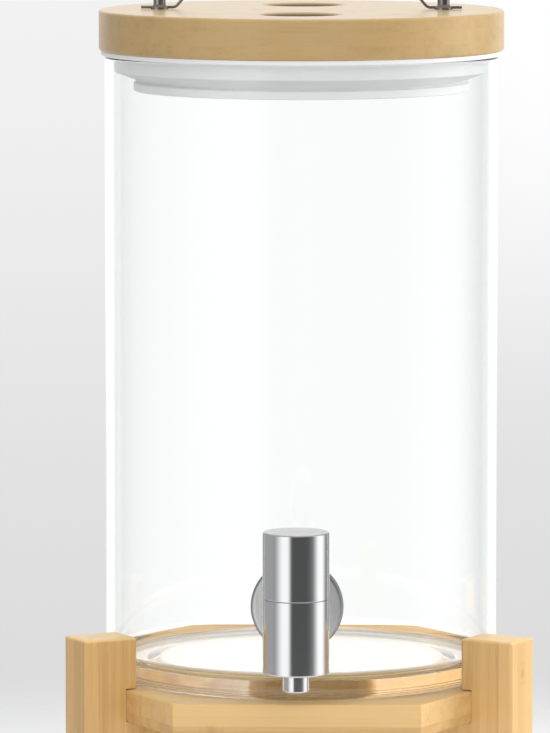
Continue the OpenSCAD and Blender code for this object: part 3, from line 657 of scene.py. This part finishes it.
def floor_paper():
    """Pale paper floor that fades out with distance from the object, so that it ends in the background."""
    m, x, y, z = material("floor_paper")
    tooth = m.noise(x * 500.0, y * 500.0, 0.0, 3.0, 0.6)
    tooth_tone = (0.74, 0.74, 0.745)
    colour = m.blend(tooth * 0.2, finish().floor, tooth_tone)
    paper = m.principled(Base_Color=colour, Roughness=0.85 + tooth * 0.1, Specular_IOR_Level=0.2)
    clear = m.value("ShaderNodeBsdfTransparent")
    away = ((x * x + y * y) ** 0.5).step(0.40, 0.85)
    return m.out(m.value("ShaderNodeMixShader", None, {0: away, 1: paper, 2: clear}))


# Stage


def softbox(name, azimuth, height, distance, wide, tall, power, drop=0.0):
    """A softbox at an azimuth in degrees from the front, aimed at the jar's axis, level or down by drop."""
    lamp = bpy.data.lights.new(name, "AREA")
    lamp.shape = "RECTANGLE"
    lamp.size = wide
    lamp.size_y = tall
    lamp.energy = power
    made = bpy.data.objects.new(name, lamp)
    angle = math.radians(azimuth)
    spot = Vector((distance * math.sin(angle), -distance * math.cos(angle), height))
    aim = Vector((0, 0, height - drop)) - spot
    made.matrix_world = Matrix.Translation(spot) @ aim.to_track_quat("-Z", "Y").to_matrix().to_4x4()
    made.visible_glossy = False
    made.visible_transmission = False
    bpy.context.scene.collection.objects.link(made)


def studio_world():
    """Pale background for the camera. Metal and lacquer mirror two tall soft bands in a dim room and a
    white back wall. Glass shows a white room with a bright strip low on its back wall, and what mirrors
    through the jar sees dim sides. Everything else gets an even level."""
    world = bpy.data.worlds.new("studio")
    bpy.context.scene.world = world
    m = Shader(world)
    split = m.node("ShaderNodeSeparateXYZ", None, {0: m.value("ShaderNodeTexCoord", output=0)})
    side, back, up = (Value(m, s) for s in split.outputs)
    path = m.node("ShaderNodeLightPath")
    camera = Value(m, path.outputs["Is Camera Ray"])
    glossy = Value(m, path.outputs["Is Glossy Ray"])

    def deeper(kind, least):
        return Value(m, path.outputs[kind + " Depth"]).math("GREATER_THAN", least)

    in_glass = deeper("Transmission", 0.5)
    scattered = deeper("Diffuse", 0.5)
    far_side = deeper("Transmission", 2.5) * deeper("Glossy", 0.5)
    around = side.math("ARCTAN2", back * -1.0) * (180 / math.pi)
    left_band = around.step(-82, -41) * around.step(-29, -12, 1.0, 0.0)
    right_band = around.step(58, 90) * around.step(100, 128, 1.0, 0.0)
    sides = around.size().step(35, 95) * 0.34 - around.step(105, 125) * 0.12
    room = 0.095 + sides + left_band * 1.2 + right_band * 0.95
    backdrop = m.blend(up.step(-0.17, -0.03), (0.715, 0.717, 0.714), (0.895, 0.897, 0.897))
    glow = side.step(-0.02, 0.02) * up.step(-0.12, -0.05)
    backdrop = m.blend(glow, backdrop, (1.0, 1.0, 1.0))
    mirrored = m.blend(back.step(0.72, 0.88), room, (1.1, 1.1, 1.1))
    overhead = m.blend(up.step(0.35, 0.9), mirrored, (0.55, 0.55, 0.555))
    even = m.blend(glossy, (0.62, 0.623, 0.63), overhead)
    past = m.blend(back.step(0.90, 0.975), (0.32, 0.32, 0.325), (1.05, 1.05, 1.05))
    behind = m.blend(far_side, (1.07, 1.07, 1.07), past)
    strip = up.step(0.143, 0.151) * up.step(0.172, 0.185, 1.0, 0.0) * back.step(0.80, 0.95)
    behind = m.blend(strip, behind, (1.7, 1.7, 1.7))
    inside = m.blend(scattered, behind, (1.0, 1.0, 1.0))
    clear = m.blend(in_glass, even, inside)
    seen = m.blend(camera, clear, backdrop)
    m.out(m.value("ShaderNodeBackground", None, {"Color": seen, "Strength": 1.0}), "ShaderNodeOutputWorld")


class DISPENSER_OT_stage(bpy.types.Operator):
    """Floor, softboxes, background and the camera"""

    bl_idname = "dispenser.stage"
    bl_label = "Stage"

    def execute(self, context):
        self.paper(context.scene)
        softbox("softbox_front", azimuth=12, height=0.6, distance=1.6, wide=1.0, tall=1.6, power=9.5)
        softbox("softbox_right", azimuth=113, height=0.62, distance=1.6, wide=1.0, tall=1.4, power=25)
        softbox("softbox_top", azimuth=0, height=2.0, distance=0.01, wide=1.5, tall=1.5, power=19, drop=1.0)
        studio_world()
        self.camera(context.scene)
        context.scene.view_settings.view_transform = "Standard"
        context.scene.cycles.max_bounces = 24
        context.scene.cycles.glossy_bounces = 16
        context.scene.cycles.transmission_bounces = 24
        return {"FINISHED"}

    def paper(self, scene):
        """Round floor, a hair lower than the foot pads."""
        rows, columns = 13, 64
        reach, drop = 1.2, 0.4 * MM
        flat = np.stack([np.linspace(0.0, reach, rows), np.full(rows, -drop)], -1)
        mesh = built("floor", (turned(flat, columns), grid_faces(rows, columns)), floor_paper())
        floor = bpy.data.objects.new("floor", mesh)
        scene.collection.objects.link(floor)

    def camera(self, scene):
        """Camera at the photograph's place and angle."""
        lens = bpy.data.cameras.new("camera")
        lens.lens = FOCAL_PIXELS * SENSOR_MM / PICTURE_HEIGHT
        lens.clip_end = 50
        eye = bpy.data.objects.new("camera", lens)
        around = math.radians(CAMERA_AROUND)
        heading = around + math.radians(CAMERA_TURN)
        away = CAMERA_DISTANCE
        spot = Vector((away * math.sin(around), -away * math.cos(around), CAMERA_HEIGHT))
        look = Euler((math.radians(90 - CAMERA_TILT), 0, heading)).to_matrix().to_4x4()
        eye.matrix_world = Matrix.Translation(spot) @ look
        scene.collection.objects.link(eye)
        scene.camera = eye


class DISPENSER_OT_stand(bpy.types.Operator):
    """Bamboo of the posts, plies and dowels, and the rubber of the foot pads"""

    bl_idname = "dispenser.stand"
    bl_label = "Stand"

    def execute(self, context):
        # Painted light: each post's tone follows the key light from the right, the right post's bamboo paler
        # and the left post's darker.
        posts = (("post_front_left", -60, 0.18), ("post_front_right", 60, -0.28), ("post_rear", 180, 0.02))
        for name, azimuth, tone in posts:
            turn = (0, 0, math.radians(90 - azimuth))
            wood = bamboo(name + "_bamboo", 0.0055, 0.014, turn, (-POST_AXIS, 0, 0), upright=True, tone=tone,
                          seed=azimuth * 0.1, cap=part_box(name)[1].z)
            coat_nodes(wood, name)
        colours = {"pale": finish().board_pale, "fibres": finish().board_deep}
        upper = bamboo("upper_ply_bamboo", 0.021, 0.0105, shift=(0, 0, -UPPER_PLY_MIDDLE), **colours)
        coat_nodes(upper, "platform_upper_ply")
        lower = bamboo("lower_ply_bamboo", 0.021, 0.005, shift=(0, 0, -LOWER_PLY_MIDDLE), tone=0.16,
                       seed=3.0, **colours)
        coat_nodes(lower, "platform_lower_ply")
        coat_nodes(bamboo("dowel_bamboo", 0.005, 0.005, tone=0.1, seed=5.0), "post_dowels")
        coat_nodes(dark_rubber(), "foot_pads")
        return {"FINISHED"}


class DISPENSER_OT_jar(bpy.types.Operator):
    """Glass jar with its drilled wall"""

    bl_idname = "dispenser.jar"
    bl_label = "Jar"

    def execute(self, context):
        s = jar_sizes()
        foot, rim = jar_low.z + s.film, jar_high.z - s.film
        bore = s.radius - s.wall
        crown = bore + s.wall / 2
        floor, roof = foot + s.base, foot + s.punt_depth
        punt_run, punt_edge, punt_bend = 6 * MM, 0.6 * MM, 3 * MM
        reach, rows, half = 18 * MM, 13, 6
        window = np.linspace(reach, -reach, rows) + s.hole_height
        outer = rounded([(crown, rim, 0), (s.radius, rim, s.rim), (s.radius, window[0], 0)], 24)
        heel = rounded([(s.radius, window[-1], 0), (s.radius, foot, s.heel), (s.punt, foot, punt_edge),
                        (s.punt - punt_run, roof, punt_bend), (0, roof, 0)], 20)
        inner = rounded([(0, floor, 0), (bore, floor, s.inner_heel), (bore, window[-1], 0)], 20)
        lip = rounded([(bore, window[0], 0), (bore, rim, s.rim), (crown, rim, 0)], 24)
        profile, spans = windowed(outer, np.concatenate([heel, inner]), lip[:-1], window)
        shape = drilled(profile, finish().columns, spans, 0, half, s.hole_height, s.hole)
        piece("jar_glass", shape, "jar", clear_glass(), ["glass_jar"])
        return {"FINISHED"}


def upright_at(shape, y):
    """Moves a turned shape to the upright axis at y."""
    points, faces = shape
    return points + np.array([0.0, y, 0.0]), faces


def on_tap_axis(shape, height):
    """Lays a turned shape down on the tap's level axis, its heights counted outwards from the jar's axis."""
    points, faces = shape
    return np.stack([points[..., 0], -points[..., 2], height - points[..., 1]], -1), faces


class DISPENSER_OT_tap(bpy.types.Operator):
    """Fixed pieces of the tap: body, neck, spout, escutcheon, shank and what holds it to the glass"""

    bl_idname = "dispenser.tap"
    bl_label = "Tap"

    def execute(self, context):
        s = tap_sizes()
        columns = finish().columns
        steel = polished_steel("polished_steel")
        # Painted light: the escutcheon's steel is a paler copy of the polished steel, to brighten its face.
        cup_lit_tone = (0.98, 0.98, 0.97)
        cup_steel = polished_steel("polished_steel_level", "y", 0.28, 0.6, shade=cup_lit_tone, rim=cup_high.x)
        radius = knob_high.x
        axis = 0.5 * (knob_low.y + knob_high.y)
        axis_height = jar_sizes().hole_height
        foot, top, collar_top = body_low.z, knob_low.z - s.gap, body_high.z
        seat = collar_top - s.ring_height
        floor = foot + s.chamber_floor
        spigot_play = 0.05 * MM
        socket, socket_radius = foot + s.spigot_length + spigot_play, s.spigot + spigot_play
        body = rounded([(socket_radius, foot, 0), (radius, foot, s.edge), (radius, top, s.seam_edge),
                        (s.collar, top, 0), (s.collar, collar_top, BROKEN_EDGE),
                        (s.ring, collar_top, CRISP_EDGE), (s.ring, seat, 0), (s.chamber, seat, 0),
                        (s.chamber, floor, 0), (s.spout_bore, floor, 0), (s.spout_bore, socket, 0),
                        (socket_radius, socket, 0)], 5)
        barrel = upright_at(ring(body, columns), axis)
        neck = self.neck(s, radius, axis, axis_height, top)
        piece("tap_body_turned", gathered([barrel, neck]), "jar", steel, ["tap_body"])
        outlet = 0.5 * (spout_high.x - spout_low.x)
        spout = rounded([(s.spout_bore, spout_low.z, BROKEN_EDGE), (outlet, spout_low.z, s.edge),
                         (outlet, foot, 0), (s.spigot, foot, 0), (s.spigot, spout_high.z, 0),
                         (s.spout_bore, spout_high.z, 0)], 5)
        spout_shape = upright_at(ring(spout, columns // 2), axis)
        piece("tap_spout_turned", spout_shape, "jar", steel, ["tap_spout"])
        front, back = -cup_low.y, -cup_high.y
        hole, cup_radius = jar_sizes().hole, cup_high.x
        lining, face = cup_radius - s.skirt, front - s.face
        cup = rounded([(hole, front, BROKEN_EDGE), (cup_radius, front, s.cup_edge),
                       (cup_radius, back, CRISP_EDGE), (lining, back, CRISP_EDGE),
                       (lining, face, 0), (hole, face, 0)], 7)
        piece("tap_escutcheon_turned", on_tap_axis(ring(cup, columns), axis_height), "jar",
              cup_steel, ["tap_escutcheon"])
        self.threaded_shank(s, axis_height)
        coat_nodes(plain_steel(), "inner_washer", "lock_nut", "retaining_ring", "stop_pin")
        coat_nodes(silicone(), "outer_gasket", "inner_gasket")
        return {"FINISHED"}

    def neck(self, s, radius, axis, axis_height, top):
        """Level tube from the escutcheon to the barrel, whose end lies at axis + sqrt(clear^2 - across^2).
        clear is a little less than the barrel's radius below the seam and clears the handle above it."""
        columns, rows = 96, 9
        sunk, start = 0.6 * MM, 0.3 * MM
        angle = np.arange(columns) * (2 * np.pi / columns)
        across = s.neck * np.sin(angle)
        height = axis_height + s.neck * np.cos(angle)
        clear = np.where(height > top, radius + s.play, radius - sunk)
        near = cup_low.y + start
        far = axis + np.sqrt(clear ** 2 - across ** 2)
        along = near + (far - near) * np.linspace(0, 1, rows)[:, None]
        tube = np.stack(np.broadcast_arrays(across, along, height), -1)
        middle = np.stack([across * 0.0, np.full(columns, far.min()), np.minimum(height, top)], -1)
        cap = np.stack([tube[-1], middle])
        return gathered([(tube, grid_faces(rows, columns)), (cap, grid_faces(2, columns))])

    def threaded_shank(self, s, axis_height):
        """Tube whose outside is a screw thread:
        radius = crest - depth (1 + cos(2 pi (place / pitch - turn))) / 2,
        fading to the plain shank where it goes into the neck."""
        columns, rows = 72, 160
        plain, fade_out, fade_in = 8 * MM, 4 * MM, 0.8 * MM
        chamfer_length, chamfer = 1.2 * MM, 0.5 * MM
        start, end = -shank_high.y, -shank_low.y
        place = np.linspace(start, end, rows)[:, None]
        turn = np.arange(columns)[None] / columns
        crest = 0.5 * (shank_high.x - shank_low.x)
        run_out = np.clip((end - plain - place) / fade_out, 0, 1)
        fade = run_out * np.clip((place - start) / fade_in, 0, 1)
        lead = np.clip((place - start) / chamfer_length, 0, 1)
        wave = 0.5 + 0.5 * np.cos(2 * np.pi * (place / s.thread_pitch - turn))
        outside = crest - s.thread_depth * wave * fade - chamfer * (1 - lead)
        inside = np.full((1, columns), s.shank_bore)
        radius = np.concatenate([inside, outside, inside])
        along = np.broadcast_to(np.concatenate([place[:1], place, place[-1:]]), radius.shape)
        angle = turn * 2 * np.pi
        points = np.stack([radius * np.sin(angle), -radius * np.cos(angle), along], -1)
        shape = on_tap_axis((points, grid_faces(len(radius), columns, closed=True)), axis_height)
        piece("tap_shank_thread", shape, "jar", plain_steel(), ["tap_shank"], 50)


class DISPENSER_OT_knob(bpy.types.Operator):
    """Turning handle of the tap and the valve inside it"""

    bl_idname = "dispenser.knob"
    bl_label = "Tap handle"

    def execute(self, context):
        s = tap_sizes()
        radius = knob_high.x
        axis = 0.5 * (knob_low.y + knob_high.y)
        foot, top = knob_low.z, knob_high.z
        hub = s.collar + s.play
        roof = body_high.z + s.gap
        bore_end = roof + s.stem_length - s.gap
        skirt = foot - s.gap + s.seam
        groove_low, groove_high = foot + 0.9 * MM, foot + 4.6 * MM
        grub = roof + 6 * MM
        reach, rows = 4.4 * MM, 9
        window = np.linspace(reach, -reach, rows) + grub
        edge = rounded([(0, top, 0), (radius, top, s.edge), (radius, window[0], 0)], 6)
        rings = np.linspace(0, radius - s.edge, 8)[:-1]
        outer = np.concatenate([np.stack([rings, np.full(len(rings), top)], -1), edge[1:]])
        lower = rounded([(radius, window[-1], 0), (radius, skirt, s.seam_edge), (hub, skirt, BROKEN_EDGE),
                         (hub, groove_low, 0), (s.groove, groove_low, 0), (s.groove, groove_high, 0),
                         (hub, groove_high, 0), (hub, roof, 0), (s.stem, roof, 0),
                         (s.stem, window[-1], 0)], 6)
        upper = np.array([(s.stem, window[0]), (s.stem, bore_end), (0, bore_end)])
        profile, spans = windowed(outer, lower, upper, window)
        columns, half = 96, 12
        shape = drilled(profile, columns, spans, columns // 2, half, grub, s.grub)
        piece("tap_handle_turned", upright_at(shape, axis), "tap_knob",
              polished_steel("polished_steel_handle", end=top), ["tap_handle"])
        coat_nodes(plain_steel(), "valve_spool", "handle_grub_screw")
        coat_nodes(dark_rubber(), "spool_o_rings")
        return {"FINISHED"}


class DISPENSER_OT_lid(bpy.types.Operator):
    """Bamboo lid with its finger scoops, the plug, the seal and the bail's posts"""

    bl_idname = "dispenser.lid"
    bl_label = "Lid"

    def execute(self, context):
        s = lid_sizes()
        radius, low, high = lid_high.x, lid_low.z, lid_high.z
        columns, rows = 400, 112
        across = np.linspace(0, radius - s.edge, rows)
        top = np.stack([across, np.full(rows, high)], -1)
        corners = [(radius - s.edge, high, 0), (radius, high, s.edge), (radius, low, s.edge), (0, low, 0)]
        profile = np.concatenate([top, rounded(corners, 7)[1:]])
        points = turned(profile, columns)
        ball = (s.scoop ** 2 + s.scoop_depth ** 2) / (2 * s.scoop_depth)
        flat = points[:rows]
        sunk = np.zeros(flat.shape[:2])
        for way in (-1, 1):
            away = np.hypot(flat[..., 0], flat[..., 1] - way * s.scoop_place)
            depth = np.sqrt(np.maximum(ball ** 2 - np.minimum(away, ball) ** 2, 0)) - (ball - s.scoop_depth)
            sunk += s.scoop_rim * np.logaddexp(0, depth / s.scoop_rim)
        flat[..., 2] -= np.where(sunk > 1e-6, sunk, 0)
        # Height of the lacquered top, and the radius inside which the finger scoops get painted shade.
        top_and_scoop_shade = (high - LID_MIDDLE, 76 * MM)
        wood = bamboo("lid_bamboo", 0.021, 0.0065, shift=(0.013, 0.004, -LID_MIDDLE), seed=9.0, marks=0.4,
                      pale=finish().lid_pale, fibres=finish().lid_deep, top_and_scoop_shade=top_and_scoop_shade)
        shape = points, grid_faces(len(profile), columns)
        piece("lid_board_turned", shape, "lid", wood, ["lid_board"], 40)
        coat_nodes(bamboo("plug_bamboo", 0.021, 0.008, tone=0.14, seed=11.0), "lid_plug")
        self.seal(s, low)
        posts = polished_steel("dark_steel_posts", rough=0.06, shade=finish().dark_steel)
        coat_nodes(posts, "bail_post_left", "bail_post_right")
        coat_nodes(plain_steel(), "plug_screws", "post_nuts", "post_washers")
        return {"FINISHED"}

    def seal(self, s, board):
        """Turned ring: flange on the rim, wide upper lip with a taper under it, waist, lower lip and the
        edge under the plug."""
        foot = seal_low.z
        lip, under = board - s.upper_lip_drop, board - s.flange
        shelf, hook = foot + s.lower_lip_height, foot + s.hook_height
        inside = s.plug - s.hook
        flange_root, hook_edge = 0.5 * MM, 0.4 * MM
        outline = [(s.plug, board, 0), (seal_high.x, board, BROKEN_EDGE), (seal_high.x, under, s.lip_edge),
                   (s.upper_lip, under, flange_root), (s.upper_lip, lip, s.lip_edge),
                   (s.waist, lip - s.lip_taper, BROKEN_EDGE), (s.waist, shelf, CRISP_EDGE),
                   (s.lower_lip, shelf, s.lip_edge), (s.lower_lip, foot, s.lip_edge),
                   (inside, foot, s.lip_edge), (inside, hook, hook_edge), (s.plug, hook, 0)]
        shape = ring(rounded(outline, 6), 256)
        piece("seal_ring_turned", shape, "lid", silicone(), ["seal_ring"])


class DISPENSER_OT_bail(bpy.types.Operator):
    """Wire bail"""

    bl_idname = "dispenser.bail"
    bl_label = "Bail"

    def execute(self, context):
        s = lid_sizes()
        pivot = bail_low.z + s.wire
        grip = bail_high.z - s.wire
        end = bail_high.x - DOME * s.wire
        half = s.grip / 2
        corners = [(-end, pivot, 0), (-s.elbow, pivot, s.elbow_bend), (-half, grip, s.grip_bend),
                   (half, grip, s.grip_bend), (s.elbow, pivot, s.elbow_bend), (end, pivot, 0)]
        line = rounded(corners, 14)
        piece("bail_wire", wire_along(line, s.wire), "bail",
              polished_steel("dark_steel_wire", rough=0.05, shade=finish().dark_steel), ["bail_handle"])
        return {"FINISHED"}


class DISPENSER_PT_panel(bpy.types.Panel):
    """Sizes, finishes and steps of the dispenser"""

    bl_idname = "DISPENSER_PT_panel"
    bl_label = "Drink dispenser"
    bl_space_type = "VIEW_3D"
    bl_region_type = "UI"
    bl_category = "Dispenser"

    def draw(self, context):
        layout = self.layout
        for step in steps:
            layout.operator(step.bl_idname)
        for group in (jar_sizes(), tap_sizes(), lid_sizes(), finish()):
            box = layout.box()
            for name in group.__annotations__:
                box.prop(group, name)


steps = (
    DISPENSER_OT_stage,
    DISPENSER_OT_stand,
    DISPENSER_OT_jar,
    DISPENSER_OT_tap,
    DISPENSER_OT_knob,
    DISPENSER_OT_lid,
    DISPENSER_OT_bail,
)

groups = (
    ("dispenser_jar", JarSizes),
    ("dispenser_tap", TapSizes),
    ("dispenser_lid", LidSizes),
    ("dispenser_finish", Finish),
)


def register():
    for name, group in groups:
        bpy.utils.register_class(group)
        setattr(bpy.types.Scene, name, PointerProperty(type=group))
    for step in steps:
        bpy.utils.register_class(step)
    bpy.utils.register_class(DISPENSER_PT_panel)


def unregister():
    bpy.utils.unregister_class(DISPENSER_PT_panel)
    for step in reversed(steps):
        bpy.utils.unregister_class(step)
    for name, group in reversed(groups):
        delattr(bpy.types.Scene, name)
        bpy.utils.unregister_class(group)


def main():
    register()
    bpy.ops.dispenser.stage()
    bpy.ops.dispenser.stand()
    bpy.ops.dispenser.jar()
    bpy.ops.dispenser.tap()
    bpy.ops.dispenser.knob()
    bpy.ops.dispenser.lid()
    bpy.ops.dispenser.bail()


if __name__ == "__main__":
    main()
